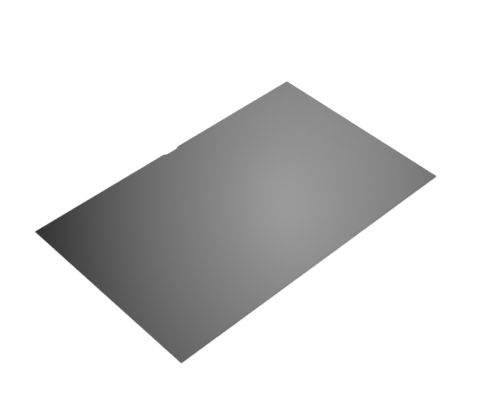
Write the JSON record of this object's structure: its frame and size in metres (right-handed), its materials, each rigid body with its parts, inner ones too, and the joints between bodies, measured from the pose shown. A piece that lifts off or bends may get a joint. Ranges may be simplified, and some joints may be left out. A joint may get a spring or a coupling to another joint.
{
  "type": "laptop privacy filter",
  "caption": "Thin flat dark plastic sheet with a shallow finger notch in the middle of a long edge; it lies over a laptop screen and narrows the angle it can be read from.",
  "frame": {"origin": "middle of the back face, which lies on the screen in use and on the floor here", "axes": "+X along the long sides, +Y towards the notched edge, +Z out of the viewing face"},
  "size_m": [0.331, 0.207, 0.0005],
  "materials": {
    "filter_film": "satin"
  },
  "bodies": {
    "root": {"filter_sheet": "filter_film"}
  },
  "joints": []
}
